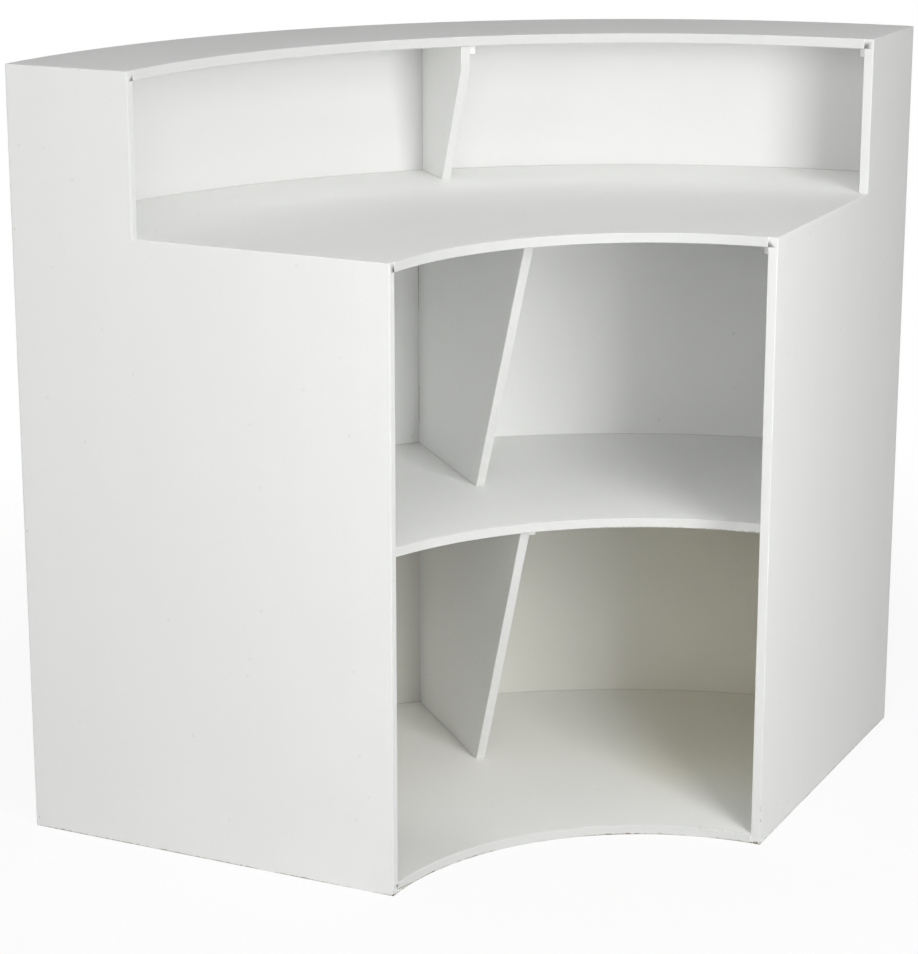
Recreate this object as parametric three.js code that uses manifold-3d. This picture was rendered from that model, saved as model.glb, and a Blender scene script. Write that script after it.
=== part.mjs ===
// Curved reception desk: a quarter ring of painted board with a raised counter over the worktop.
// The staff side is open and faces -Y. The visitor side is a thin bent skin that bulges to +Y.
// Millimetres, +Z up, origin on the floor in the middle of the desk's footprint box.

import * as THREE from 'three';
import { mergeVertices } from 'three/addons/utils/BufferGeometryUtils.js';
import Module from 'manifold-3d';

// Plan: every curved edge is an arc about one centre, and depths are taken from the outer face
const OUTER_RADIUS = 1000;
const SWEEP = THREE.MathUtils.degToRad(90);
const WORKTOP_DEPTH = 600;
const SHELF_DEPTH = 500;
const COUNTER_DEPTH = 200;

// Heights of the upper faces above the floor, and of the counter top above the worktop
const SHELF_HEIGHT = 460;
const WORKTOP_HEIGHT = 905;
const COUNTER_RISE = 231;

// Board and skin
const BOARD = 15;
const SKIN = 7;
const GLUE_LINE = 0.3; // glue and filler between any two pieces that meet
const ARC_STEPS = 28; // half the number of flats along each arc

// Dividers, with front edges that rake back towards the foot
const DIVIDER_BACK_GAP = 1.5;
const UPPER_DIVIDER_SETBACK = 100;
const UPPER_DIVIDER_RAKE = 217;
const LOWER_DIVIDER_SETBACK = 17;
const LOWER_DIVIDER_RAKE = 196;
const COUNTER_DIVIDER_SETBACK = 10;
const COUNTER_DIVIDER_RAKE = 90;
const COUNTER_DIVIDER_NOSE = 35; // upright stretch above the rake
const COUNTER_DIVIDER_OFFSET = 8; // to the right of the two below it

// Square battens that carry the tops
const CLEAT = 15;
const CLEAT_SETBACK = 30;
const DIVIDER_CLEAT_SETBACK = 20;
const CLEAT_BACK_GAP = 3;
const LONG_CLEAT = 250; // from here on a cleat takes two screws into the board above

// Glued dowels across a joint, short in the face of one board and long in the edge of the other
const DOWEL_DIAMETER = 8;
const DOWEL_IN_FACE = 10;
const DOWEL_IN_EDGE = 20;
const DOWEL_CHAMFER = 1;
const DOWELS_PER_END = 3;
const BOARD_DOWEL_INSET = 75;
const DIVIDER_DOWEL_INSET = 25;

// Countersunk wood screws through the cleats
const SCREW_DIAMETER = 3.5;
const SCREW_LENGTH = 25;
const SCREW_TIP = 4;
const SCREW_HEAD_DIAMETER = 7;
const SIDE_SCREW_INSET = 25;
const TOP_SCREW_INSET = 70;
const FASTENER_SIDES = 10;
const DRILL_OVERRUN = 2; // how far a countersink cutter stands out of the wood

// Worked out from the above
const HALF_SWEEP = SWEEP / 2;
const SKIN_INSIDE = OUTER_RADIUS - SKIN;
const WORKTOP_RADIUS = OUTER_RADIUS - WORKTOP_DEPTH;
const SHELF_RADIUS = OUTER_RADIUS - SHELF_DEPTH;
const COUNTER_RADIUS = OUTER_RADIUS - COUNTER_DEPTH;
const COUNTER_HEIGHT = WORKTOP_HEIGHT + COUNTER_RISE;

const wasm = await Module();
wasm.setup();

const paintedBoard = () => new THREE.MeshStandardMaterial({ color: 0xf0f0ed, roughness: 0.45, metalness: 0 });
const beech = () => new THREE.MeshStandardMaterial({ color: 0xc8a878, roughness: 0.7, metalness: 0 });
const zincSteel = () => new THREE.MeshStandardMaterial({ color: 0xb8bbc0, roughness: 0.35, metalness: 1 });

// The desk stands on its footprint's middle. The ring group sits on the centre of the arcs, and each
// station is a radial plane of the ring: its own +X runs outwards and its +Y towards the left end.
const desk = new THREE.Group();
const ring = new THREE.Group();
ring.position.y = -(OUTER_RADIUS + WORKTOP_RADIUS * Math.cos(HALF_SWEEP)) / 2;
desk.add(ring);

function addStation(angleFromMiddle) {
  const station = new THREE.Group();
  station.rotation.z = Math.PI / 2 - angleFromMiddle;
  station.updateMatrix();
  ring.add(station);
  return station;
}

const middle = addStation(0);
const ends = [
  { side: 'left', station: addStation(-HALF_SWEEP), inward: -1 },
  { side: 'right', station: addStation(HALF_SWEEP), inward: 1 },
];

// A piece is kept with the holes to be drilled in it until every fastener has been placed
const pieces = [];

function addPiece(name, parent, geometry, material) {
  const piece = { name, parent, geometry, material, holes: [] };
  pieces.push(piece);
  return piece;
}

function drill(piece, cutter, station) {
  const hole = cutter.clone();
  if (piece.parent === ring) hole.applyMatrix4(station.matrix);
  piece.holes.push(hole);
}

function toSolid(geometry) {
  const bare = geometry.clone();
  bare.deleteAttribute('normal');
  bare.deleteAttribute('uv');
  const welded = mergeVertices(bare);
  const corners = welded.index.array;
  const triVerts = [];
  for (let i = 0; i < corners.length; i += 3) {
    const [a, b, c] = corners.slice(i, i + 3);
    if (a !== b && b !== c && c !== a) triVerts.push(a, b, c);
  }
  const vertProperties = welded.attributes.position.array;
  return new wasm.Manifold(new wasm.Mesh({ numProp: 3, vertProperties, triVerts: new Uint32Array(triVerts) }));
}

function drilled(geometry, holes) {
  if (holes.length === 0) return geometry;
  let solid = toSolid(geometry);
  for (const hole of holes) solid = solid.subtract(toSolid(hole));
  const { vertProperties, triVerts } = solid.getMesh();
  const result = new THREE.BufferGeometry();
  result.setAttribute('position', new THREE.BufferAttribute(vertProperties, 3));
  result.setIndex(new THREE.BufferAttribute(triVerts, 1));
  return result;
}

// Ring boards: a sector of the ring whose ends stop short of the end lines by a given distance
function ringSector(innerRadius, outerRadius, endInset, bottom, thickness) {
  const halfAngle = (radius) => HALF_SWEEP - Math.asin(endInset / radius);
  const outer = halfAngle(outerRadius);
  const inner = halfAngle(innerRadius);
  const quarter = Math.PI / 2;
  const outline = new THREE.Shape();
  outline.absarc(0, 0, outerRadius, quarter - outer, quarter + outer, false);
  outline.absarc(0, 0, innerRadius, quarter + inner, quarter - inner, true);
  outline.closePath();
  const options = { depth: thickness, bevelEnabled: false, curveSegments: ARC_STEPS };
  return new THREE.ExtrudeGeometry(outline, options).translate(0, 0, bottom);
}

function addRingBoard(name, innerRadius, topFace) {
  const outerRadius = SKIN_INSIDE - GLUE_LINE;
  const geometry = ringSector(innerRadius, outerRadius, BOARD + GLUE_LINE, topFace - BOARD, BOARD);
  return addPiece(name, ring, geometry, paintedBoard());
}

const base = addRingBoard('base_board', WORKTOP_RADIUS, BOARD);
const shelf = addRingBoard('shelf_board', SHELF_RADIUS, SHELF_HEIGHT);
const worktop = addRingBoard('worktop', WORKTOP_RADIUS, WORKTOP_HEIGHT);
const counterTop = addRingBoard('counter_top', COUNTER_RADIUS, COUNTER_HEIGHT);

// Visitor side: one thin sheet bent round the boards and over the back edges of the end panels
addPiece('visitor_skin', ring, ringSector(SKIN_INSIDE, OUTER_RADIUS, 0, 0, COUNTER_HEIGHT), paintedBoard());

// Upright plates: an outline in radius and height, given its thickness across the station
function uprightPlate(corners, nearFace) {
  const outline = new THREE.Shape(corners.map(([radius, height]) => new THREE.Vector2(radius, height)));
  const plate = new THREE.ExtrudeGeometry(outline, { depth: BOARD, bevelEnabled: false });
  return plate.rotateX(Math.PI / 2).translate(0, nearFace + BOARD, 0);
}

// End panels: L-shaped, full height at the back and worktop height in front
function addEndPanel({ side, station, inward }) {
  const back = SKIN_INSIDE - GLUE_LINE;
  const corners = [
    [WORKTOP_RADIUS, 0],
    [back, 0],
    [back, COUNTER_HEIGHT],
    [COUNTER_RADIUS, COUNTER_HEIGHT],
    [COUNTER_RADIUS, WORKTOP_HEIGHT],
    [WORKTOP_RADIUS, WORKTOP_HEIGHT],
  ];
  const nearFace = inward > 0 ? 0 : -BOARD;
  return addPiece(`${side}_end_panel`, station, uprightPlate(corners, nearFace), paintedBoard());
}

for (const end of ends) end.panel = addEndPanel(end);

// Dividers: one in each tier, from the skin forwards, deepest at the top
function addDivider({ name, under, onto, bottom, top, topFront, rake, nose, offset }) {
  const back = SKIN_INSIDE - DIVIDER_BACK_GAP;
  const low = bottom + GLUE_LINE;
  const high = top - GLUE_LINE;
  const corners = [
    [topFront + rake, low],
    [back, low],
    [back, high],
    [topFront, high],
  ];
  if (nose > 0) corners.push([topFront, high - nose]);
  const geometry = uprightPlate(corners, -BOARD / 2 - offset);
  const piece = addPiece(name, middle, geometry, paintedBoard());
  return { piece, under, onto, bottom, top, topFront, footFront: topFront + rake, back, offset };
}

const lowerDivider = addDivider({
  name: 'lower_divider',
  under: shelf,
  onto: base,
  bottom: BOARD,
  top: SHELF_HEIGHT - BOARD,
  topFront: SHELF_RADIUS + LOWER_DIVIDER_SETBACK,
  rake: LOWER_DIVIDER_RAKE,
  nose: 0,
  offset: 0,
});

const upperDivider = addDivider({
  name: 'upper_divider',
  under: worktop,
  onto: shelf,
  bottom: SHELF_HEIGHT,
  top: WORKTOP_HEIGHT - BOARD,
  topFront: WORKTOP_RADIUS + UPPER_DIVIDER_SETBACK,
  rake: UPPER_DIVIDER_RAKE,
  nose: 0,
  offset: 0,
});

const counterDivider = addDivider({
  name: 'counter_divider',
  under: counterTop,
  onto: worktop,
  bottom: WORKTOP_HEIGHT,
  top: COUNTER_HEIGHT - BOARD,
  topFront: COUNTER_RADIUS + COUNTER_DIVIDER_SETBACK,
  rake: COUNTER_DIVIDER_RAKE,
  nose: COUNTER_DIVIDER_NOSE,
  offset: COUNTER_DIVIDER_OFFSET,
});

const dividers = [lowerDivider, upperDivider, counterDivider];

// Fasteners are turned about +Y, set along a direction, and drill the same shape with clearance
function turned(profile) {
  return new THREE.LatheGeometry(profile.map(([radius, y]) => new THREE.Vector2(radius, y)), FASTENER_SIDES);
}

function aimed(geometry, at, direction) {
  const turn = new THREE.Quaternion().setFromUnitVectors(new THREE.Vector3(0, 1, 0), direction);
  return geometry.applyQuaternion(turn).translate(at.x, at.y, at.z);
}

function dowelProfile(growth) {
  const radius = DOWEL_DIAMETER / 2 + growth;
  const low = -DOWEL_IN_FACE + GLUE_LINE - growth;
  const high = DOWEL_IN_EDGE + growth;
  return [
    [0, low],
    [radius - DOWEL_CHAMFER, low],
    [radius, low + DOWEL_CHAMFER],
    [radius, high - DOWEL_CHAMFER],
    [radius - DOWEL_CHAMFER, high],
    [0, high],
  ];
}

// The joint face lies at the given point, with the long half of the dowel along the direction
function addDowel(name, station, at, direction, joined) {
  addPiece(name, station, aimed(turned(dowelProfile(0)), at, direction), beech());
  const cutter = aimed(turned(dowelProfile(GLUE_LINE)), at, direction);
  for (const piece of joined) drill(piece, cutter, station);
}

const SCREW_SINK = (SCREW_HEAD_DIAMETER - SCREW_DIAMETER) / 2; // depth of a right-angled countersunk head

function screwShape() {
  const shank = SCREW_DIAMETER / 2;
  return turned([
    [0, 0],
    [SCREW_HEAD_DIAMETER / 2, 0],
    [shank, SCREW_SINK],
    [shank, SCREW_LENGTH - SCREW_TIP],
    [0, SCREW_LENGTH],
  ]);
}

function screwHole() {
  const shank = SCREW_DIAMETER / 2 + GLUE_LINE;
  const mouth = SCREW_HEAD_DIAMETER / 2 + GLUE_LINE;
  return turned([
    [0, -DRILL_OVERRUN],
    [mouth, -DRILL_OVERRUN],
    [mouth, GLUE_LINE],
    [shank, GLUE_LINE + SCREW_SINK],
    [shank, SCREW_LENGTH - SCREW_TIP + GLUE_LINE],
    [0, SCREW_LENGTH + GLUE_LINE],
  ]);
}

// The head's face lies at the given point, and the screw runs along the direction
function addScrew(name, station, at, direction, joined) {
  addPiece(name, station, aimed(screwShape(), at, direction), zincSteel());
  const cutter = aimed(screwHole(), at, direction);
  for (const piece of joined) drill(piece, cutter, station);
}

// Base and shelf: dowelled into the inner faces of the end panels
function evenlySpaced(first, last, count) {
  return Array.from({ length: count }, (_, i) => first + ((last - first) * i) / (count - 1));
}

const dowelledBoards = [
  { name: 'base', board: base, front: WORKTOP_RADIUS, middleHeight: BOARD / 2 },
  { name: 'shelf', board: shelf, front: SHELF_RADIUS, middleHeight: SHELF_HEIGHT - BOARD / 2 },
];

for (const { side, station, inward, panel } of ends) {
  for (const { name, board, front, middleHeight } of dowelledBoards) {
    const radii = evenlySpaced(front + BOARD_DOWEL_INSET, SKIN_INSIDE - BOARD_DOWEL_INSET, DOWELS_PER_END);
    radii.forEach((radius, i) => {
      const at = new THREE.Vector3(radius, inward * BOARD, middleHeight);
      const direction = new THREE.Vector3(0, inward, 0);
      addDowel(`${side}_${name}_dowel_${i + 1}`, station, at, direction, [panel, board]);
    });
  }
}

// Divider feet: two dowels each, up out of the board below
for (const { piece, onto, bottom, footFront, back, offset } of dividers) {
  const radii = [footFront + DIVIDER_DOWEL_INSET, back - DIVIDER_DOWEL_INSET];
  radii.forEach((radius, i) => {
    const at = new THREE.Vector3(radius, -offset, bottom);
    addDowel(`${piece.name}_dowel_${i + 1}`, middle, at, new THREE.Vector3(0, 0, 1), [onto, piece]);
  });
}

// Cleats: battens screwed sideways to an upright board, and up into the board that they carry.
// The face they are screwed to lies at a given distance across the station, on the given side of it.
function addCleat({ name, station, upright, carried, underside, front, face, away }) {
  const back = SKIN_INSIDE - CLEAT_BACK_GAP;
  const length = back - front;
  const across = face + away * (GLUE_LINE + CLEAT / 2);
  const height = underside - GLUE_LINE - CLEAT / 2;
  const batten = new THREE.BoxGeometry(length, CLEAT, CLEAT).translate(front + length / 2, across, height);
  const cleat = addPiece(name, station, batten, paintedBoard());
  const openFace = across + (away * CLEAT) / 2;
  const sideways = new THREE.Vector3(0, -away, 0);
  [front + SIDE_SCREW_INSET, back - SIDE_SCREW_INSET].forEach((radius, i) => {
    const at = new THREE.Vector3(radius, openFace, height);
    addScrew(`${name}_side_screw_${i + 1}`, station, at, sideways, [cleat, upright]);
  });
  const upwards = new THREE.Vector3(0, 0, 1);
  const topScrews = length < LONG_CLEAT ? [front + length / 2] : [front + TOP_SCREW_INSET, back - TOP_SCREW_INSET];
  topScrews.forEach((radius, i) => {
    const at = new THREE.Vector3(radius, across, height - CLEAT / 2);
    addScrew(`${name}_top_screw_${i + 1}`, station, at, upwards, [cleat, carried]);
  });
}

const carriedTops = [
  { name: 'counter_top', carried: counterTop, front: COUNTER_RADIUS, underside: COUNTER_HEIGHT - BOARD },
  { name: 'worktop', carried: worktop, front: WORKTOP_RADIUS, underside: WORKTOP_HEIGHT - BOARD },
];

for (const { side, station, inward, panel } of ends) {
  for (const { name, carried, front, underside } of carriedTops) {
    addCleat({
      name: `${name}_cleat_${side}`,
      station,
      upright: panel,
      carried,
      underside,
      front: front + CLEAT_SETBACK,
      face: inward * BOARD,
      away: inward,
    });
  }
}

for (const { piece, under, top, topFront, offset } of dividers) {
  addCleat({
    name: `${piece.name}_cleat`,
    station: middle,
    upright: piece,
    carried: under,
    underside: top,
    front: topFront + DIVIDER_CLEAT_SETBACK,
    face: -BOARD / 2 - offset,
    away: -1,
  });
}

for (const { name, parent, geometry, material, holes } of pieces) {
  const mesh = new THREE.Mesh(drilled(geometry, holes), material);
  mesh.name = name;
  parent.add(mesh);
}

export default desk;
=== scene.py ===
"""A curved reception desk in white painted board, seen from the staff side."""
import math

import bmesh
import bpy
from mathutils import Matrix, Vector


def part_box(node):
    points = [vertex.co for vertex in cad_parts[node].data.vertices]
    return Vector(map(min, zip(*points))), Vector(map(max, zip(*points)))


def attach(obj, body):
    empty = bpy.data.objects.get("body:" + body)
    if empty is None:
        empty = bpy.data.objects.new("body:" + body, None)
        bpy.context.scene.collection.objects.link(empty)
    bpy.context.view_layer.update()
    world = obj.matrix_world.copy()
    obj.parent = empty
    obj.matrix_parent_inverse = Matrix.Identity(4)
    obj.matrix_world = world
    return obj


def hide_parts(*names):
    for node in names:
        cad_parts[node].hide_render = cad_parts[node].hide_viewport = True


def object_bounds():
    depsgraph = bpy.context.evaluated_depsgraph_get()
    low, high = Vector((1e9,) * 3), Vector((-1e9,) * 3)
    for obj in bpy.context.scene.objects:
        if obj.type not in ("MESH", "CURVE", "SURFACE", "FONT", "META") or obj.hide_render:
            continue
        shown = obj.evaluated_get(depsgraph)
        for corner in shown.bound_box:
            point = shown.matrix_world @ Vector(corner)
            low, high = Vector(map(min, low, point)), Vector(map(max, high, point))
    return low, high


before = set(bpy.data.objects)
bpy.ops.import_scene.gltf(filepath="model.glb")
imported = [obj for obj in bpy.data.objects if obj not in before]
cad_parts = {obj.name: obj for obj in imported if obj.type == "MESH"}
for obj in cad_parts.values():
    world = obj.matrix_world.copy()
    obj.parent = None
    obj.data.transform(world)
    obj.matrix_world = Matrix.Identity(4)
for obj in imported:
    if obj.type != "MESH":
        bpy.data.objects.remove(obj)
cad_low, cad_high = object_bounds()


# Base board: the floor of the desk, a quarter ring sawn from 15 mm board. It is dowelled between the end
# panels and its joints are filled, so only the hollow front edge keeps an arris, rounded by sanding.
# Feet have dirtied its edge. Its colour also holds painted shade, darker at the front and on the left,
# and painted light, lighter and warmer deeper in the bay.

skin_low, skin_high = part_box("visitor_skin")
base_low, base_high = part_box("base_board")

QUARTER = math.radians(90)
ARC_STEPS = 90
OUTER_RADIUS = skin_high.x / math.sin(QUARTER / 2)
RING_CENTRE = Vector((0, skin_high.y - OUTER_RADIUS, 0))
SKIN = 0.007
SKIN_INSIDE = OUTER_RADIUS - SKIN
BOARD = base_high.z - base_low.z
DESK_INSIDE = 0.400
ARRIS = 0.0015
ARRIS_STEPS = 3
SMOOTH_ANGLE = math.radians(35)
NEAR = 0.00002


def radius_of(point):
    """How far a point lies from the upright line through the ring's centre."""
    return (point - RING_CENTRE).xy.length


def near(value, other):
    return abs(value - other) < NEAR


def end_turn(side):
    """The direction of the desk's left (-1) or right (1) end, as a turn from X."""
    return QUARTER - side * QUARTER / 2


def ring_board(name, inside, outside, bottom, top):
    """A quarter ring, spun from its upright section at the left end round to the right end."""
    bpy.ops.object.select_all(action="DESELECT")
    bpy.ops.mesh.primitive_plane_add(size=1, rotation=(QUARTER, 0, 0))
    board = bpy.context.object
    board.name = name
    board.scale = (outside - inside, top - bottom, 1)
    board.location = ((inside + outside) / 2, 0, (bottom + top) / 2)
    bpy.ops.object.transform_apply()
    board.rotation_euler.z = end_turn(-1)
    board.location = RING_CENTRE
    bpy.ops.object.transform_apply()
    bpy.ops.object.mode_set(mode="EDIT")
    bpy.ops.mesh.select_all(action="SELECT")
    bpy.ops.mesh.spin(steps=ARC_STEPS, angle=QUARTER, center=RING_CENTRE, axis=(0, 0, 1))
    bpy.ops.mesh.select_all(action="SELECT")
    bpy.ops.mesh.remove_doubles(threshold=NEAR)
    bpy.ops.mesh.normals_make_consistent(inside=False)
    bpy.ops.object.mode_set(mode="OBJECT")
    return board


def cut_ends(inset):
    """Saw both ends of a ring board parallel to the desk's end planes, this far inside them."""
    bpy.ops.object.mode_set(mode="EDIT")
    for side in (-1, 1):
        outward = Vector((side * math.cos(QUARTER / 2), -math.sin(QUARTER / 2), 0))
        bpy.ops.mesh.select_all(action="SELECT")
        bpy.ops.mesh.bisect(
            plane_co=RING_CENTRE - outward * inset, plane_no=outward, use_fill=True, clear_outer=True)
    bpy.ops.object.mode_set(mode="OBJECT")


def select_edges(*tests):
    """In edit mode, select the edges whose two ends both pass one of the tests."""
    mesh = bpy.context.object.data
    bpy.ops.mesh.select_mode(type="EDGE")
    bpy.ops.mesh.select_all(action="DESELECT")
    shape = bmesh.from_edit_mesh(mesh)
    for edge in shape.edges:
        edge.select_set(any(all(test(end.co) for end in edge.verts) for test in tests))
    bmesh.update_edit_mesh(mesh)


def round_arrises(*tests, radius=ARRIS):
    """Round the edges whose two ends both pass one of the tests."""
    bpy.ops.object.mode_set(mode="EDIT")
    select_edges(*tests)
    bpy.ops.mesh.bevel(offset=radius, segments=ARRIS_STEPS, profile=0.5, affect="EDGES")
    bpy.ops.mesh.select_all(action="SELECT")
    bpy.ops.mesh.remove_doubles(threshold=NEAR)
    bpy.ops.object.mode_set(mode="OBJECT")


def round_front(inside, bottom, top):
    """Round the two arrises of a ring board's hollow front edge."""
    round_arrises(
        lambda end: near(radius_of(end), inside) and near(end.z, top),
        lambda end: near(radius_of(end), inside) and near(end.z, bottom))


def finish_board(board, node, paint):
    """Smooth the rounded arrises, keep the faces flat, paint the board and let it stand for its node."""
    bpy.ops.object.shade_smooth_by_angle(angle=SMOOTH_ANGLE)
    weighted = board.modifiers.new("flat_faces", "WEIGHTED_NORMAL")
    weighted.keep_sharp = True
    bpy.ops.object.modifier_apply(modifier=weighted.name)
    board.data.materials.append(paint)
    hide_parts(node)
    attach(board, "root")


class Tone:
    """A value in a material. Arithmetic on it adds Math nodes, and node() adds any other node."""

    def __init__(self, tree, socket=None):
        self.tree = tree
        self.socket = socket

    def node(self, kind, settings=None, sockets=None, output=0):
        made = self.tree.nodes.new("ShaderNode" + kind)
        for setting, value in (settings or {}).items():
            setattr(made, setting, value)
        for label, value in (sockets or {}).items():
            if isinstance(value, Tone):
                self.tree.links.new(value.socket, made.inputs[label])
            else:
                made.inputs[label].default_value = value
        return Tone(self.tree, made.outputs[output] if made.outputs else None)

    def other(self, output):
        """Another output of the node that this value comes from."""
        return Tone(self.tree, self.socket.node.outputs[output])

    def math(self, operation, first, second):
        return self.node("Math", {"operation": operation}, {0: first, 1: second})

    def __add__(self, other):
        return self.math("ADD", self, other)

    def __radd__(self, other):
        return self.math("ADD", other, self)

    def __sub__(self, other):
        return self.math("SUBTRACT", self, other)

    def __rsub__(self, other):
        return self.math("SUBTRACT", other, self)

    def __mul__(self, other):
        return self.math("MULTIPLY", self, other)

    def __rmul__(self, other):
        return self.math("MULTIPLY", other, self)

    def __pow__(self, other):
        return self.math("POWER", self, other)


def clean_tree(owner):
    """Empty the node tree of a new material or world, and give a start for its nodes."""
    owner.use_nodes = True
    owner.node_tree.nodes.clear()
    return Tone(owner.node_tree)


def fade(value, full, gone):
    """A mask that is 1 where the value has reached full and eases to 0 where it has reached gone."""
    return value.node("MapRange", {"interpolation_type": "SMOOTHSTEP"},
                      {"Value": value, "From Min": gone, "From Max": full})


def noise(place, scale, detail=2.0):
    return place.node("TexNoise", None, {"Vector": place, "Scale": scale, "Detail": detail})


def mix(first, second, share):
    """A colour that goes from the first to the second as the share goes from 0 to 1."""
    return share.node("Mix", {"data_type": "RGBA"}, {0: share, 6: first, 7: second}, output=2)


def bumps(place, height, strength, depth):
    return place.node("Bump", None, {"Strength": strength, "Distance": depth, "Height": height})


def from_centre(place, axis):
    """A point's place along X, Y or Z, from the ring's centre on the floor."""
    centred = place.node("VectorMath", {"operation": "SUBTRACT"}, {0: place, 1: RING_CENTRE})
    return place.node("SeparateXYZ", None, {0: centred}, axis)


def from_line(first, second):
    """How far a point lies from a line, given its distances from two square planes that meet there."""
    return (first * first + second * second) ** 0.5


def ring_radius(place):
    """A point's distance from the upright line through the ring's centre."""
    return from_line(from_centre(place, "X"), from_centre(place, "Y"))


def ring_angle(place):
    """A point's angle round that line, to the right of the middle."""
    return place.math("ARCTAN2", from_centre(place, "X"), from_centre(place, "Y"))


def height_of(place):
    return from_centre(place, "Z")


WHITE = (0.925, 0.931, 0.917, 1)
THIN_WHITE = (0.86, 0.866, 0.850, 1)
# Painted shade: the front edges that face the ring's centre get the most light, and this colour darkens
# them.
EDGE_SHADE_WHITE = (0.615, 0.620, 0.608, 1)
SPECK = (0.42, 0.39, 0.34, 1)
GRIME = (0.26, 0.24, 0.20, 1)
BARE_BOARD = (0.17, 0.13, 0.085, 1)
SATIN = 0.55
SATIN_SWING = 0.12
PAINT_GLOSS = 0.3
CLOUDS = 7
LANES = 26
LANE_RUN = 1.4
LANE_SHARE = 0.5
STIPPLE = 260
STIPPLE_STRENGTH = 0.5
STIPPLE_DEPTH = 0.0002
SPECKS = 22
NOISE_MIDDLE = 0.5

# Each pair, here and below, says where a layer over the coat is full and where it has gone.
EDGE_SHADE_FACING = (0.40, 0.02)
THIN_PLACES = (0.66, 0.40)
THIN_SHARE = 0.08
SPECK_SIZE = (0.045, 0.070)
SPECK_SHARE = 0.15


def facing_centre(place):
    """1 where the surface faces the ring's centre line, as the front edges of the boards do."""
    inward = place.node("VectorMath", {"operation": "SUBTRACT"}, {0: RING_CENTRE, 1: place})
    level = place.node("VectorMath", {"operation": "MULTIPLY"}, {0: inward, 1: (1, 1, 0)})
    unit = place.node("VectorMath", {"operation": "NORMALIZE"}, {0: level})
    normal = place.other("Normal")
    square = place.node("VectorMath", {"operation": "DOT_PRODUCT"}, {0: unit, 1: normal}, "Value")
    return fade(square, *EDGE_SHADE_FACING)


def ring_lanes(place):
    """Roller lanes that follow the ring."""
    across = ring_radius(place) * LANES
    along = ring_angle(place) * LANE_RUN
    return place.node("CombineXYZ", None, {0: across, 1: along, 2: height_of(place) * LANES})


def white_paint(name, lanes, wear_and_shade, coat=WHITE, edge=EDGE_SHADE_WHITE):
    """Rolled satin paint over a board. Lanes draws the place out along the roller's travel.

    The wear list holds what lies over the coat, real wear and also painted shade and painted light:
    a mask, its colour, and how much it dulls the gloss.
    """
    paint = bpy.data.materials.new(name)
    place = clean_tree(paint).node("TexCoord", output="Object")
    cloud = noise(place, CLOUDS)
    lane = noise(lanes(place), 1)
    thickness = cloud * (1 - LANE_SHARE) + lane * LANE_SHARE
    colour = mix(coat, THIN_WHITE, fade(thickness, *THIN_PLACES) * THIN_SHARE)
    # Painted shade: the edges facing the ring's centre take the darker edge colour.
    colour = mix(colour, edge, facing_centre(place))
    speck = place.node("TexVoronoi", None, {"Vector": place, "Scale": SPECKS})
    colour = mix(colour, SPECK, fade(speck, *SPECK_SIZE) * SPECK_SHARE)
    roughness = SATIN + (cloud - NOISE_MIDDLE) * SATIN_SWING
    for mask, tint, dulling in wear_and_shade(place):
        colour = mix(colour, tint, mask)
        if dulling:
            roughness = roughness + mask * dulling
    stipple = bumps(place, noise(place, STIPPLE, 1), STIPPLE_STRENGTH, STIPPLE_DEPTH)
    shader = place.node("BsdfPrincipled", None, {
        "Base Color": colour, "Roughness": roughness, "Specular IOR Level": PAINT_GLOSS, "Normal": stipple})
    place.node("OutputMaterial", None, {"Surface": shader})
    return paint


# Painted shade and light on the base: darker at the front, lighter deeper in the bay, darkest at the left
# front.
BASE_FRONT_SHADE_WHITE = (0.850, 0.856, 0.842, 1)
BASE_REAR_LIGHT_WHITE = (0.915, 0.912, 0.880, 1)
# Painted warm tone of the shade deep in the lower bay's right side.
WARM_SHADE_TONE_WHITE = (0.885, 0.866, 0.762, 1)
LEFT_SHADE_WHITE = (0.735, 0.740, 0.728, 1)
DIRT_DULLING = 0.3
COAT_DEPTH = 0.001
JOINT_LINE = 0.0015
JOINT_SHARE = 0.3
RAGGED = 170
PATCHY = 11
FLOOR_WAVER = 0.006
FLOOR_DIRT = (0.0006, 0.0026)
FLOOR_PATCHES = (0.60, 0.42)
FLOOR_DIRT_BEHIND = (0.002, 0.008)
REAR_LIGHT_BEHIND = (0.30, 0.05)
WARM_SHADE_RIGHT = (0.45, 0.25)
LEFT_SHADE_SIDE = (-0.50, -0.10)
LEFT_SHADE_BEHIND = (0.02, 0.22)
NICK_REACH = (0.001, 0.003)
NICK_PLACES = (0.20, 0.14)
NICK_SHARE = 0.5
CRACK_WIDTH = (0.0003, 0.0008)
CRACK_BEHIND = (0.001, 0.002)
CRACK_RIGHT = math.radians(-37.7)
CRACK_TAPER = 0.01
CRACK_LOW = 0.0019
CRACK_RISE = 0.045


def waver(place, scale, detail=3):
    """Ragged noise that swings to both sides of nothing."""
    return noise(place, scale, detail) - NOISE_MIDDLE


def on_face(distance, face):
    """1 where a distance, such as a height, reaches a board's face, and 0 just under that face."""
    return fade(distance, face, face - COAT_DEPTH)


def joint_line(radius):
    """The thin grey line that wiping leaves where a board meets the skin."""
    return fade(radius, SKIN_INSIDE, SKIN_INSIDE - JOINT_LINE) * JOINT_SHARE, GRIME, DIRT_DULLING


def floor_line(place, ragged, patches):
    """The ragged line of dirt that mops leave along the floor, broken into patches."""
    line = fade(height_of(place) + ragged * FLOOR_WAVER, *FLOOR_DIRT)
    return line * fade(noise(place, PATCHY), *patches)


def warm_shade_side(angle):
    """The right side of the lower bay, where the painted warm tone of the shade is strongest."""
    return fade(angle, *WARM_SHADE_RIGHT)


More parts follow.
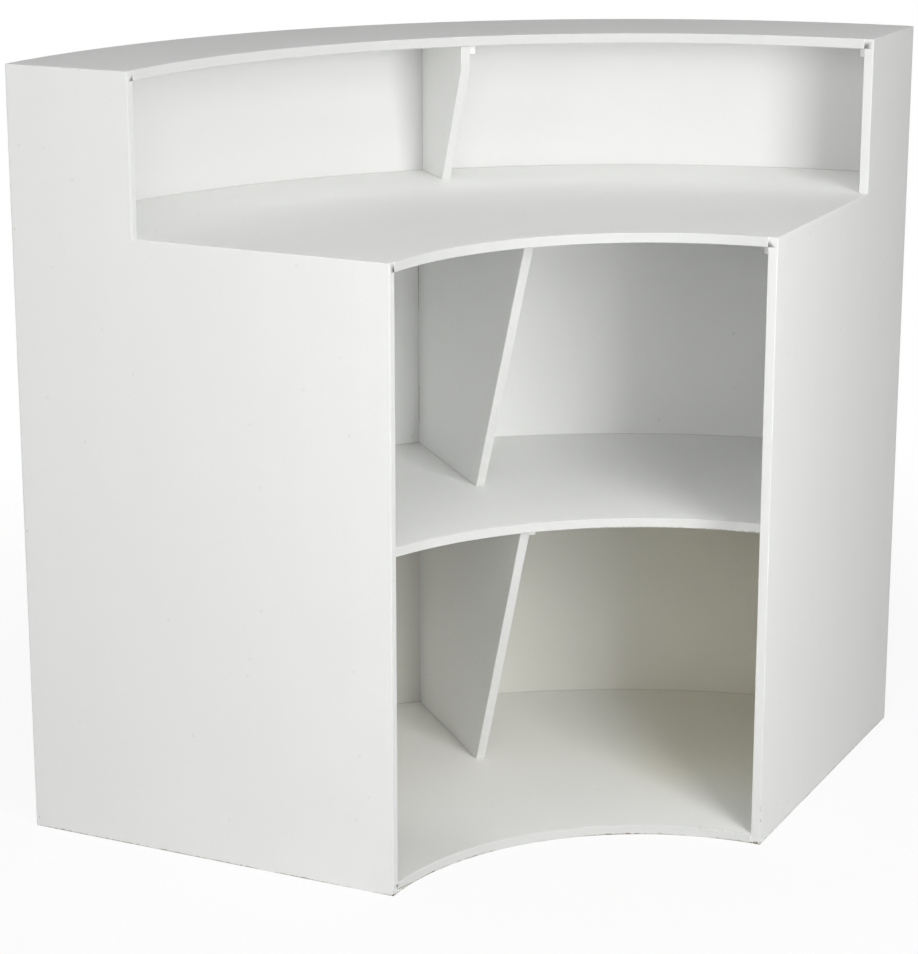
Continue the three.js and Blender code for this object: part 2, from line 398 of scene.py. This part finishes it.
def base_board_wear_and_shade(place):
    radius = ring_radius(place)
    angle = ring_angle(place)
    height = height_of(place)
    ragged = waver(place, RAGGED)
    behind_front = radius - DESK_INSIDE
    # Painted light: the base top grows lighter and warmer deeper in the bay.
    rear_light = fade(behind_front, *REAR_LIGHT_BEHIND)
    # Painted shade on the left front of the base.
    left_shade = (fade(angle, *LEFT_SHADE_SIDE) * fade(behind_front, *LEFT_SHADE_BEHIND)
               * on_face(height, base_high.z))
    nicks = fade(from_line(behind_front, height - base_high.z), *NICK_REACH) * fade(ragged, *NICK_PLACES)
    above_crack = height - (CRACK_LOW + (CRACK_RIGHT - angle) * CRACK_RISE)
    crack = (fade((above_crack * above_crack) ** 0.5, *CRACK_WIDTH)
             * fade(angle, CRACK_RIGHT, CRACK_RIGHT + CRACK_TAPER) * fade(behind_front, *CRACK_BEHIND))
    floor_dirt = floor_line(place, ragged, FLOOR_PATCHES) * fade(behind_front, *FLOOR_DIRT_BEHIND)
    return [
        (rear_light, BASE_REAR_LIGHT_WHITE, 0),
        (rear_light * warm_shade_side(angle), WARM_SHADE_TONE_WHITE, 0),
        (left_shade, LEFT_SHADE_WHITE, 0),
        (nicks * NICK_SHARE, GRIME, DIRT_DULLING),
        joint_line(radius),
        (crack, GRIME, DIRT_DULLING),
        (floor_dirt, BARE_BOARD, DIRT_DULLING)]


base_board = ring_board("painted_base_board", DESK_INSIDE, SKIN_INSIDE, base_low.z, base_high.z)
cut_ends(BOARD)
round_front(DESK_INSIDE, base_low.z, base_high.z)
base_board_paint = white_paint("base_board_paint", ring_lanes, base_board_wear_and_shade, BASE_FRONT_SHADE_WHITE)
finish_board(base_board, "base_board", base_board_paint)


# End panels: two upright boards of the same 15 mm stock, sawn to an L that is worktop height in front and
# counter height behind. Every board butts against their inner faces, so only the free edges keep a
# rounded arris. Knocks have chipped the paint off their front bottom corners. Their outer faces and front
# edges are painted darker than their inner faces: painted shade.

worktop_low, worktop_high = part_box("worktop")
counter_low, counter_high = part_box("counter_top")
shelf_low, shelf_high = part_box("shelf_board")
COUNTER_INSIDE = 0.800
LEVEL = 0.9


def upright_board(name, front, back, left, right, bottom, top):
    """A rectangular board from a cube. Its length runs out along X, and its left side is at +Y."""
    bpy.ops.object.select_all(action="DESELECT")
    bpy.ops.mesh.primitive_cube_add(size=1)
    board = bpy.context.object
    board.name = name
    board.scale = (back - front, left - right, top - bottom)
    board.location = ((front + back) / 2, (left + right) / 2, (bottom + top) / 2)
    bpy.ops.object.transform_apply()
    return board


def saw_line(point, normal):
    """Mark a line round the board in edit mode, so that its faces and edges divide there."""
    bpy.ops.mesh.select_all(action="SELECT")
    bpy.ops.mesh.bisect(plane_co=point, plane_no=normal)


def place_on_ring(board, turn):
    """Put a board that was made along X on its line out from the ring's centre."""
    board.rotation_euler.z = turn
    board.location = RING_CENTRE
    bpy.ops.object.transform_apply()


def end_panel(name, node, side, paint):
    """A plain board up to the worktop, whose back part is drawn up to the counter."""
    inner = side * BOARD
    left = max(0, inner)
    right = min(0, inner)
    panel = upright_board(name, DESK_INSIDE, SKIN_INSIDE, left, right, 0, worktop_high.z)
    bpy.ops.object.mode_set(mode="EDIT")
    saw_line((COUNTER_INSIDE, 0, 0), (1, 0, 0))
    bpy.ops.mesh.select_mode(type="FACE")
    bpy.ops.mesh.select_all(action="DESELECT")
    shape = bmesh.from_edit_mesh(panel.data)
    for face in shape.faces:
        face.select_set(face.normal.z > LEVEL and face.calc_center_median().x > COUNTER_INSIDE)
    bmesh.update_edit_mesh(panel.data)
    rise = (0, 0, counter_high.z - worktop_high.z)
    bpy.ops.mesh.extrude_region_move(TRANSFORM_OT_translate={"value": rise})
    for height in (base_high.z, worktop_low.z, counter_low.z):
        saw_line((0, 0, height), (0, 0, 1))
    for height in (base_high.z - ARRIS, worktop_low.z + ARRIS, counter_low.z + ARRIS):
        saw_line((0, 0, height), (0, 0, 1))
    bpy.ops.object.mode_set(mode="OBJECT")

    def front(end):
        return near(end.x, DESK_INSIDE)

    def shoulder(end):
        return near(end.z, worktop_high.z) and end.x < COUNTER_INSIDE + NEAR

    def step(end):
        return near(end.x, COUNTER_INSIDE) and end.z > worktop_high.z - NEAR

    def top(end):
        return near(end.z, counter_high.z)

    def foot(end):
        return near(end.z, 0)

    def outside(end):
        return near(end.y, 0)

    def free_inside(end):
        """On the inner face, where no board butts against it."""
        bay = front(end) and base_high.z - NEAR < end.z < worktop_low.z + NEAR
        counter = step(end) and end.z < counter_low.z + NEAR
        return near(end.y, inner) and (bay or counter)

    round_arrises(
        lambda end: outside(end) and front(end),
        lambda end: outside(end) and shoulder(end),
        lambda end: outside(end) and step(end),
        lambda end: outside(end) and top(end),
        lambda end: outside(end) and foot(end),
        lambda end: front(end) and foot(end),
        lambda end: front(end) and shoulder(end),
        lambda end: step(end) and top(end),
        free_inside)
    place_on_ring(panel, end_turn(side))
    finish_board(panel, node, paint)


# Painted shade: the panels' outer faces and front edges are darker than the same paint inside.
PANEL_SHADE_WHITE = (0.768, 0.773, 0.759, 1)
PANEL_EDGE_SHADE_WHITE = (0.670, 0.675, 0.663, 1)
# Painted shade, darker and warmer, on the inner faces of the lower bay and under the shelf's front.
BAY_SHADE_WHITE = (0.785, 0.778, 0.726, 1)
FACING_UP = (0.9, 0.5)
PANEL_SHADE_BEHIND = (0.20, 0.01)
PANEL_FLOOR_PATCHES = (0.50, 0.34)
FLOOR_SHARE = 0.8
KNOCK_WAVER = 0.016
KNOCK_REACH = (0.001, 0.004)
KNOCK_DULLING = 0.4
SCUFFS = 90
SCUFF_REACH = (0.0006, 0.0020)
SCUFF_PLACES = (0.58, 0.46)
SCUFF_SHARE = 0.6
LEFT_SCUFFED_HEIGHT = 0.012
RIGHT_SCUFFED_HEIGHT = 0.08


def upright_lanes(place):
    """Roller lanes that run up and down a board."""
    return place.node("VectorMath", {"operation": "MULTIPLY"}, {0: place, 1: (LANES, LANES, LANE_RUN)})


def facing_up(place):
    """1 on the level edges, which keep the plain white of the tops beside them, without the panel's painted
    shade.
    """
    return fade(place.node("SeparateXYZ", None, {0: place.other("Normal")}, "Z"), *FACING_UP)


def end_panel_paint(name, side, scuffed_height):
    inward = (-side * math.cos(QUARTER / 2), math.sin(QUARTER / 2), 0)

    def wear_and_shade(place):
        height = height_of(place)
        centred = place.node("VectorMath", {"operation": "SUBTRACT"}, {0: place, 1: RING_CENTRE})
        depth = place.node("VectorMath", {"operation": "DOT_PRODUCT"}, {0: centred, 1: inward}, "Value")
        ragged = waver(place, RAGGED)
        behind_front = ring_radius(place) - DESK_INSIDE
        inside = on_face(depth, BOARD)
        in_lower_bay = fade(height, shelf_low.z, shelf_high.z) * fade(behind_front, *PANEL_SHADE_BEHIND)
        floor_dirt = floor_line(place, ragged, PANEL_FLOOR_PATCHES)
        knocked = fade(from_line(behind_front, height) + ragged * KNOCK_WAVER, *KNOCK_REACH)
        scuffs = (fade(from_line(behind_front, depth), *SCUFF_REACH)
                  * fade(noise(place, SCUFFS, 3), *SCUFF_PLACES)
                  * fade(height, scuffed_height / 2, scuffed_height))
        return [
            # The inner faces and the level edges keep the plain white, free of the panel's painted shade.
            (inside, WHITE, 0),
            (facing_up(place), WHITE, 0),
            (inside * in_lower_bay, BAY_SHADE_WHITE, 0),
            (floor_dirt * FLOOR_SHARE, GRIME, DIRT_DULLING),
            (scuffs * SCUFF_SHARE, GRIME, DIRT_DULLING),
            (knocked, BARE_BOARD, KNOCK_DULLING)]

    return white_paint(name, upright_lanes, wear_and_shade, PANEL_SHADE_WHITE, PANEL_EDGE_SHADE_WHITE)


left_panel_paint = end_panel_paint("painted_left_end_panel_paint", -1, LEFT_SCUFFED_HEIGHT)
right_panel_paint = end_panel_paint("painted_right_end_panel_paint", 1, RIGHT_SCUFFED_HEIGHT)
end_panel("painted_left_end_panel", "left_end_panel", -1, left_panel_paint)
end_panel("painted_right_end_panel", "right_end_panel", 1, right_panel_paint)


# Shelf board: a second quarter ring, set back from the front and dowelled between the end panels at half
# height. Its lower front arris was never filled, so the paint there is ragged and has chipped. Its front
# edge and the front of its underside are painted darker as painted shade, and painted light keeps the
# right end of the front edge white.

SHELF_INSIDE = 0.500
# Painted shade on the shelf's front edge.
SHELF_EDGE_SHADE_WHITE = (0.640, 0.645, 0.632, 1)
LIT_END_RIGHT = (0.64, 0.56)
SHELF_SHADE_DEPTH = 0.2
CHIPS = 190
CHIP_WAVER = 0.006
CHIP_REACH = (0.0008, 0.0022)
CHIPPED_RIGHT = (0.35, -0.1)
CHIP_SHARE = 0.5


def shelf_board_wear_and_shade(place):
    radius = ring_radius(place)
    angle = ring_angle(place)
    height = height_of(place)
    # Painted light: the right end of the front edge keeps the plain white, without the edge's painted
    # shade.
    painted_light_end = facing_centre(place) * fade(angle, *LIT_END_RIGHT)
    # Painted shade under the front of the shelf.
    underside = (fade(height, shelf_low.z, shelf_low.z + COAT_DEPTH)
                 * fade(radius, SHELF_INSIDE + SHELF_SHADE_DEPTH, SHELF_INSIDE))
    arris = from_line(radius - SHELF_INSIDE, height - shelf_low.z)
    chips = fade(arris + waver(place, CHIPS) * CHIP_WAVER, *CHIP_REACH) * fade(angle, *CHIPPED_RIGHT)
    return [
        (painted_light_end, WHITE, 0),
        (underside, BAY_SHADE_WHITE, 0),
        (chips * CHIP_SHARE, GRIME, DIRT_DULLING),
        joint_line(radius)]


shelf_board = ring_board("painted_shelf_board", SHELF_INSIDE, SKIN_INSIDE, shelf_low.z, shelf_high.z)
cut_ends(BOARD)
round_front(SHELF_INSIDE, shelf_low.z, shelf_high.z)
shelf_board_paint = white_paint("shelf_board_paint", ring_lanes, shelf_board_wear_and_shade, edge=SHELF_EDGE_SHADE_WHITE)
finish_board(shelf_board, "shelf_board", shelf_board_paint)


# Lower and upper dividers: one upright board in the middle of each bay, dowelled into the board below it.
# The front edge is sawn on a slant, so that the foot stands further back than the top. The joint with the
# skin was filled in places only, and elsewhere the brown board shows in the gap.

LOWER_FOOT = 0.713
LOWER_HEAD = 0.517
UPPER_FOOT = 0.717
UPPER_HEAD = 0.500
# Painted shade: the dividers' slanted front edges are a little darker than their faces.
DIVIDER_EDGE_SHADE_WHITE = (0.740, 0.745, 0.732, 1)
UNFILLED_HEIGHTS = ((0.49, 0.56), (0.67, 0.87))
UNFILLED_TAPER = 0.01
UNFILLED_GRAIN = 120
UNFILLED_WAVER = 0.003
UNFILLED_REACH = (SKIN_INSIDE - 0.0006, SKIN_INSIDE - 0.0022)
UNFILLED_SHARE = 0.9
WIPED_ABOVE = (0.0004, 0.0016)
WIPED_BELOW = (-0.002, -0.004)


def wiped_line(height, board_top):
    """The thin grey line that wiping leaves on an upright, just above a level board."""
    above = height - board_top
    return fade(above, *WIPED_ABOVE) * fade(above, *WIPED_BELOW) * JOINT_SHARE


def divider_wear(place):
    radius = ring_radius(place)
    height = height_of(place)
    at_skin = fade(radius + waver(place, UNFILLED_GRAIN, 2) * UNFILLED_WAVER, *UNFILLED_REACH)
    layers = [joint_line(radius)]
    for low, high in UNFILLED_HEIGHTS:
        gap = fade(height, low + UNFILLED_TAPER, low) * fade(height, high - UNFILLED_TAPER, high)
        layers.append((at_skin * gap * UNFILLED_SHARE, BARE_BOARD, KNOCK_DULLING))
    for board_top in (base_high.z, shelf_high.z, worktop_high.z):
        layers.append((wiped_line(height, board_top), GRIME, DIRT_DULLING))
    return layers


def divider(name, node, foot, head, left, right, bottom, top, nose=0):
    """An upright board whose front edge slants back to its foot, from under an upright nose."""
    board = upright_board(name, head, SKIN_INSIDE, left, right, bottom, top)
    bpy.ops.object.mode_set(mode="EDIT")
    if nose:
        saw_line((0, 0, top - nose), (0, 0, 1))
    select_edges(lambda end: near(end.x, head) and near(end.z, bottom))
    bpy.ops.transform.translate(value=(foot - head, 0, 0))
    bpy.ops.object.mode_set(mode="OBJECT")

    def on_front(end):
        rise = min(1, (end.z - bottom) / (top - nose - bottom))
        return near(end.x, foot + (head - foot) * rise)

    round_arrises(
        lambda end: near(end.y, left) and on_front(end),
        lambda end: near(end.y, right) and on_front(end))
    place_on_ring(board, QUARTER)
    paint = white_paint(name + "_paint", upright_lanes, divider_wear, edge=DIVIDER_EDGE_SHADE_WHITE)
    finish_board(board, node, paint)


divider("painted_lower_divider", "lower_divider", LOWER_FOOT, LOWER_HEAD,
        BOARD / 2, -BOARD / 2, base_high.z, shelf_low.z)
divider("painted_upper_divider", "upper_divider", UPPER_FOOT, UPPER_HEAD,
        BOARD / 2, -BOARD / 2, shelf_high.z, worktop_low.z)


# Worktop: the widest quarter ring, on cleats between the end panels and flush with their front part. The
# counter divider stands on it, and the counter top overhangs its back. Years of wiping have left dirt in
# the joint behind.

# Painted shade: the worktop's front edge is darker than its top.
WORKTOP_EDGE_SHADE_WHITE = (0.580, 0.585, 0.573, 1)


def worktop_wear(place):
    return [joint_line(ring_radius(place))]


worktop = ring_board("painted_worktop", DESK_INSIDE, SKIN_INSIDE, worktop_low.z, worktop_high.z)
cut_ends(BOARD)
round_front(DESK_INSIDE, worktop_low.z, worktop_high.z)
worktop_paint = white_paint("worktop_paint", ring_lanes, worktop_wear, edge=WORKTOP_EDGE_SHADE_WHITE)
finish_board(worktop, "worktop", worktop_paint)


# Counter divider: a small upright board under the counter top, a little to the right of the middle. It is
# dowelled into the worktop, and its front edge drops straight for a short nose before it slants back.

COUNTER_FOOT = 0.900
COUNTER_HEAD = 0.810
COUNTER_NOSE = 0.035
counter_divider_low, counter_divider_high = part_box("counter_divider")

divider("painted_counter_divider", "counter_divider", COUNTER_FOOT, COUNTER_HEAD,
        -counter_divider_low.x, -counter_divider_high.x, worktop_high.z, counter_low.z, COUNTER_NOSE)


# Counter top: the narrow quarter ring that visitors write on, on cleats between the end panels and flush
# with their tops and with the top of the skin. Its top face is a little darker, as painted shade.

COUNTER_TOP_SHADE_WHITE = (0.905, 0.911, 0.896, 1)


def counter_top_shade(place):
    # Painted shade on the counter's top face.
    return [(on_face(height_of(place), counter_high.z), COUNTER_TOP_SHADE_WHITE, 0)]


counter_top = ring_board(
    "painted_counter_top", COUNTER_INSIDE, SKIN_INSIDE, counter_low.z, counter_high.z)
cut_ends(BOARD)
round_front(COUNTER_INSIDE, counter_low.z, counter_high.z)
counter_top_paint = white_paint("counter_top_paint", ring_lanes, counter_top_shade)
finish_board(counter_top, "counter_top", counter_top_paint)


# Visitor skin: one thin sheet bent round the backs of the boards and glued, from the floor to the counter.
# Its ends are planed flush with the end panels and painted with them, and carry the same painted shade; its
# outer edges are rounded a little more than the boards'. Dirt lines its joints inside, and shoes have
# scuffed it near the floor. Inside, its lower bay and its back behind the counter are painted darker:
# painted shade.

SKIN_ARRIS = 0.0025
# Painted shade on the inside of the skin behind the counter.
COUNTER_BACK_SHADE_WHITE = (0.735, 0.736, 0.729, 1)
SKIN_FACE = (SKIN_INSIDE + 0.001, SKIN_INSIDE + 0.003)
SKIN_ENDS = (QUARTER / 2 - 0.0005, QUARTER / 2 - 0.002)


def visitor_skin_wear_and_shade(place):
    angle = ring_angle(place)
    height = height_of(place)
    inside = fade(ring_radius(place), *SKIN_FACE)
    in_lower_bay = inside * fade(height, shelf_low.z, shelf_high.z)
    under_counter = inside * fade(height, worktop_high.z, worktop_low.z)
    ends = fade((angle * angle) ** 0.5, *SKIN_ENDS)
    # Painted shade inside: the lower bay, warmest on the right, and the back under the counter; the ends
    # take the panels' painted shade.
    layers = [
        (in_lower_bay, BAY_SHADE_WHITE, 0),
        (in_lower_bay * warm_shade_side(angle), WARM_SHADE_TONE_WHITE, 0),
        (under_counter, COUNTER_BACK_SHADE_WHITE, 0),
        (ends, PANEL_SHADE_WHITE, 0)]
    for board_top in (base_high.z, shelf_high.z, worktop_high.z):
        layers.append((inside * wiped_line(height, board_top), GRIME, DIRT_DULLING))
    floor_dirt = (1 - inside) * floor_line(place, waver(place, RAGGED), FLOOR_PATCHES)
    layers.append((floor_dirt * FLOOR_SHARE, GRIME, DIRT_DULLING))
    return layers


visitor_skin = ring_board("painted_visitor_skin", SKIN_INSIDE, OUTER_RADIUS, skin_low.z, skin_high.z)
round_arrises(
    lambda end: near(radius_of(end), OUTER_RADIUS) and near(end.z, skin_high.z),
    lambda end: near(radius_of(end), OUTER_RADIUS) and near(end.z, skin_low.z),
    lambda end: near(radius_of(end), OUTER_RADIUS) and near(end.x, skin_high.x),
    lambda end: near(radius_of(end), OUTER_RADIUS) and near(end.x, skin_low.x),
    radius=SKIN_ARRIS)
visitor_skin_paint = white_paint("visitor_skin_paint", upright_lanes, visitor_skin_wear_and_shade, edge=WHITE)
finish_board(visitor_skin, "visitor_skin", visitor_skin_paint)


# Cleats: square battens in the corners under the worktop, the shelf and the counter top. Their sawn edges
# are broken with sandpaper. Each is drilled and countersunk, glued and screwed sideways to its upright and
# up into the board above, and painted with the desk.

CLEAT = 0.015
CLEAT_GLUE = 0.0003
CLEAT_ARRIS = 0.001
CLEAT_BACK = SKIN_INSIDE - 0.003
END_SETBACK = 0.030
DIVIDER_SETBACK = 0.020
SCREW_HEAD = 0.007
SCREW_SHANK = 0.0035
SCREW_SINK = 0.00175
SCREW_LENGTH = 0.025
SCREW_SIDES = 24
BIT_OVERRUN = 0.001
BIT_PLAY = 0.0001
BIT_SHANK = SCREW_SHANK + 2 * BIT_PLAY
BIT_HEAD = BIT_SHANK + (SCREW_HEAD - SCREW_SHANK) * (1 + BIT_OVERRUN / SCREW_SINK)
cleat_paint = white_paint("cleat_paint", ring_lanes, lambda place: [], edge=WHITE)


def pick(piece):
    """Make a piece the active one and the only one selected."""
    bpy.ops.object.select_all(action="DESELECT")
    bpy.context.view_layer.objects.active = piece
    piece.select_set(True)


def turned(start, diameter, steps):
    """A turned shape along Z: a round face at this height, drawn out by steps of length and narrowing."""
    bpy.ops.object.select_all(action="DESELECT")
    bpy.ops.mesh.primitive_circle_add(
        vertices=SCREW_SIDES, radius=diameter / 2, fill_type="NGON", location=(0, 0, start))
    bpy.ops.object.transform_apply()
    bpy.ops.object.mode_set(mode="EDIT")
    bpy.ops.mesh.select_all(action="SELECT")
    for length, narrowing in steps:
        bpy.ops.mesh.extrude_region_move(TRANSFORM_OT_translate={"value": (0, 0, length)})
        bpy.ops.transform.resize(value=(narrowing, narrowing, 1), center_override=(0, 0, 0))
    bpy.ops.mesh.select_all(action="SELECT")
    bpy.ops.mesh.normals_make_consistent(inside=False)
    bpy.ops.object.mode_set(mode="OBJECT")
    return bpy.context.object


def screw_direction(node):
    """The way that a screw points: up into a board, or sideways into a divider or an end panel."""
    if "top_screw" in node:
        return Vector((0, 0, 1))
    if "divider" in node:
        return Vector((-1, 0, 0))
    side = -1 if "left" in node else 1
    return Vector((side * math.cos(QUARTER / 2), -math.sin(QUARTER / 2), 0))


def at_screw(pattern, name, node):
    """A copy of a turned shape, with Z = 0 at the head of a screw's node and +Z the way that it points."""
    direction = screw_direction(node)
    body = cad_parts[node]
    corners = [body.matrix_world @ corner.co for corner in body.data.vertices]
    seat_depth = min(corner.dot(direction) for corner in corners)
    rim = [corner for corner in corners if near(corner.dot(direction), seat_depth)]
    placed = pattern.copy()
    placed.data = pattern.data.copy()
    placed.name = name
    bpy.context.scene.collection.objects.link(placed)
    placed.rotation_euler = direction.to_track_quat("Z", "Y").to_euler()
    placed.location = sum(rim, Vector()) / len(rim)
    pick(placed)
    bpy.ops.object.transform_apply()
    return placed


screw_bit = turned(-BIT_OVERRUN, BIT_HEAD, (
    (BIT_OVERRUN + SCREW_SINK, BIT_SHANK / BIT_HEAD),
    (SCREW_LENGTH - SCREW_SINK, 1)))


def cleat(node, turn, front, face, side, under):
    """A batten from this distance out, on one side of an upright's face and under a board."""
    reach = face + side * (CLEAT + CLEAT_GLUE)
    left = max(face, reach)
    right = min(face, reach)
    batten = upright_board(
        "painted_" + node, front, CLEAT_BACK, left, right, under - CLEAT - CLEAT_GLUE, under)
    round_arrises(lambda end: True, radius=CLEAT_ARRIS)
    place_on_ring(batten, turn)
    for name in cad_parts:
        if name.startswith(node) and "screw" in name:
            drill = at_screw(screw_bit, "drill", name)
            pick(batten)
            hole = batten.modifiers.new("hole", "BOOLEAN")
            hole.object = drill
            bpy.ops.object.modifier_apply(modifier=hole.name)
            bpy.data.objects.remove(drill)
    finish_board(batten, node, cleat_paint)


for board, inside, under in (
        ("worktop", DESK_INSIDE, worktop_low.z), ("counter_top", COUNTER_INSIDE, counter_low.z)):
    for end, side in (("left", -1), ("right", 1)):
        node = f"{board}_cleat_{end}"
        cleat(node, end_turn(side), inside + END_SETBACK, side * BOARD, side, under)
cleat("lower_divider_cleat", QUARTER, LOWER_HEAD + DIVIDER_SETBACK, -BOARD / 2, -1, shelf_low.z)
cleat("upper_divider_cleat", QUARTER, UPPER_HEAD + DIVIDER_SETBACK, -BOARD / 2, -1, worktop_low.z)
cleat("counter_divider_cleat", QUARTER, COUNTER_HEAD + DIVIDER_SETBACK,
      -counter_divider_high.x, -1, counter_low.z)


# Screws: countersunk cross-recess screws in zinc-plated steel, driven through the cleats until their heads
# are flush. The heads were painted over with the cleats, and the metal shows again where the paint has
# chipped.

SCREW_TIP = 0.004
SCREW_POINT = 0.1
RECESS_LENGTH = 0.0040
RECESS_WIDTH = 0.0008
RECESS_DEPTH = 0.0012
ZINC = (0.62, 0.61, 0.57, 1)
PAINTED_HEAD = (0.80, 0.806, 0.79, 1)
HEAD_ROUGHNESS = 0.5
ZINC_SHINE = 0.15
HEAD_CHIPS = 900
HEAD_CHIP_PLACES = (0.66, 0.62)
DENTS = 1400
DENT_STRENGTH = 0.4
DENT_DEPTH = 0.0001

screw_steel = bpy.data.materials.new("painted_screw_steel")
place = clean_tree(screw_steel).node("TexCoord", output="Object")
chipped = fade(noise(place, HEAD_CHIPS), *HEAD_CHIP_PLACES)
shader = place.node("BsdfPrincipled", None, {
    "Base Color": mix(PAINTED_HEAD, ZINC, chipped),
    "Metallic": chipped,
    "Roughness": HEAD_ROUGHNESS - chipped * ZINC_SHINE,
    "Normal": bumps(place, noise(place, DENTS), DENT_STRENGTH, DENT_DEPTH)})
place.node("OutputMaterial", None, {"Surface": shader})

screw_pattern = turned(0, SCREW_HEAD, (
    (SCREW_SINK, SCREW_SHANK / SCREW_HEAD),
    (SCREW_LENGTH - SCREW_SINK - SCREW_TIP, 1),
    (SCREW_TIP, SCREW_POINT)))
for turn in (0, QUARTER):
    bpy.ops.mesh.primitive_cube_add(size=1, rotation=(0, 0, turn))
    bit = bpy.context.object
    bit.scale = (RECESS_LENGTH, RECESS_WIDTH, RECESS_DEPTH * 2)
    pick(screw_pattern)
    recess = screw_pattern.modifiers.new("recess", "BOOLEAN")
    recess.object = bit
    bpy.ops.object.modifier_apply(modifier=recess.name)
    bpy.data.objects.remove(bit)
bpy.ops.object.shade_smooth_by_angle(angle=SMOOTH_ANGLE)
screw_pattern.data.materials.append(screw_steel)

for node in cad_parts:
    if "screw" in node:
        screw = at_screw(screw_pattern, "zinc_" + node, node)
        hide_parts(node)
        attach(screw, "root")

bpy.data.objects.remove(screw_pattern)
bpy.data.objects.remove(screw_bit)


# Dowels: turned beech pins, glued into blind holes where the base, the shelf and the dividers meet their
# neighbours. They are out of sight once the desk is together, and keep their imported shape.

BEECH = (0.56, 0.37, 0.20, 1)
BEECH_FLECK = (0.42, 0.25, 0.12, 1)
BEECH_ROUGHNESS = 0.6
FLECK_ROUGHNESS = 0.15
FLECKS = 700
FLECK_PLACES = (0.62, 0.46)
PORE_STRENGTH = 0.4
PORE_DEPTH = 0.0001

beech = bpy.data.materials.new("beech")
place = clean_tree(beech).node("TexCoord", output="Object")
fleck = noise(place, FLECKS, 3)
shader = place.node("BsdfPrincipled", None, {
    "Base Color": mix(BEECH, BEECH_FLECK, fade(fleck, *FLECK_PLACES)),
    "Roughness": BEECH_ROUGHNESS + fleck * FLECK_ROUGHNESS,
    "Normal": bumps(place, fleck, PORE_STRENGTH, PORE_DEPTH)})
place.node("OutputMaterial", None, {"Surface": shader})

for node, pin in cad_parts.items():
    if "dowel" in node:
        pin.material_slots[0].material = beech


# Floor and backdrop: a plain pale studio floor that runs to the horizon. It looks white to the camera and
# in reflections, and near the desk it keeps the desk's soft shadow.

FLOOR_SIZE = 60
FLOOR_GREY = (0.80, 0.80, 0.80, 1)
NEAR_GLOW = 0.90
FULL_GLOW_AWAY = (2.6, 0.9)
BACKDROP_WHITE = (1, 1, 1, 1)


def seen_ray(start):
    """1 for the rays that show the backdrop: straight to the camera, mirrored or let through."""
    path = start.node("LightPath", output="Is Camera Ray")
    return path + path.other("Is Glossy Ray") + path.other("Is Transmission Ray")


bpy.ops.object.select_all(action="DESELECT")
bpy.ops.mesh.primitive_plane_add(size=FLOOR_SIZE, location=(0, 0, cad_low.z))
floor = bpy.context.object
floor.name = "studio_floor"
floor_paint = bpy.data.materials.new("studio_floor_paint")
start = clean_tree(floor_paint)
matt = start.node("BsdfDiffuse", None, {"Color": FLOOR_GREY})
glow = start.node("Emission", None, {"Color": BACKDROP_WHITE, "Strength": 1})
place = start.node("TexCoord", output="Object")
away = place.node("VectorMath", {"operation": "LENGTH"}, {0: place}, "Value")
share = NEAR_GLOW + fade(away, *FULL_GLOW_AWAY) * (1 - NEAR_GLOW)
mixed = start.node("MixShader", None, {0: seen_ray(start) * share, 1: matt, 2: glow})
start.node("OutputMaterial", None, {"Surface": mixed})
floor.data.materials.append(floor_paint)

world = bpy.data.worlds.new("studio")
bpy.context.scene.world = world
start = clean_tree(world)
unlit = start.node("Background", None, {"Color": BACKDROP_WHITE, "Strength": 0})
backdrop = start.node("Background", None, {"Color": BACKDROP_WHITE, "Strength": 1})
mixed = start.node("MixShader", None, {0: seen_ray(start), 1: unlit, 2: backdrop})
start.node("OutputWorld", None, {"Surface": mixed})


# Lamps: large square soft boxes on stands round the desk. Most of the light comes from the front and from
# above, the sides and the bays get a little fill, and two low boxes light the visitor side.

LAMP_AIM = Vector((0, 0, 0.6))


def softbox(name, place, size, power):
    """A square area lamp that faces the middle of the desk."""
    lamp = bpy.data.lights.new(name, "AREA")
    lamp.shape = "SQUARE"
    lamp.size = size
    lamp.energy = power
    stand = bpy.data.objects.new(name, lamp)
    bpy.context.scene.collection.objects.link(stand)
    stand.location = place
    stand.rotation_euler = (LAMP_AIM - Vector(place)).to_track_quat("-Z", "Y").to_euler()


softbox("right_front", place=(0.45, -2.56, 1.25), size=0.9, power=33)
softbox("right_high", place=(0.45, -2.56, 2.0), size=0.9, power=14)
softbox("high_front", place=(0, -1.3, 3.1), size=2.0, power=26)
softbox("far_left", place=(-2.75, -1.0, 1.4), size=1.8, power=18)
softbox("left_side", place=(-2.6, 0.9, 0.8), size=1.0, power=7)
softbox("left_front", place=(-1.1, -2.36, 1.7), size=0.9, power=12)
softbox("low_front", place=(0.2, -2.4, 0.6), size=1.0, power=6)
softbox("left_back", place=(-1.2, 2.7, 0.7), size=0.9, power=26)
softbox("right_back", place=(1.2, 2.7, 0.7), size=0.9, power=26)


# Camera: a long lens at the photograph's place, left of the middle and a little above the counter. It has
# no shift, so the uprights draw together a little towards the floor.

CAMERA_PLACE = Vector((-1.4024, -3.8652, 1.6292))
CAMERA_AIM = Vector((-0.0475, 0.0386, 0.4875))
LENS = 106.79
SENSOR = 36

bpy.context.scene.view_settings.view_transform = "Standard"
camera_data = bpy.data.cameras.new("camera")
camera_data.lens = LENS
camera_data.sensor_width = SENSOR
camera = bpy.data.objects.new("camera", camera_data)
bpy.context.scene.collection.objects.link(camera)
camera.location = CAMERA_PLACE
camera.rotation_euler = (CAMERA_AIM - CAMERA_PLACE).to_track_quat("-Z", "Y").to_euler()
bpy.context.scene.camera = camera
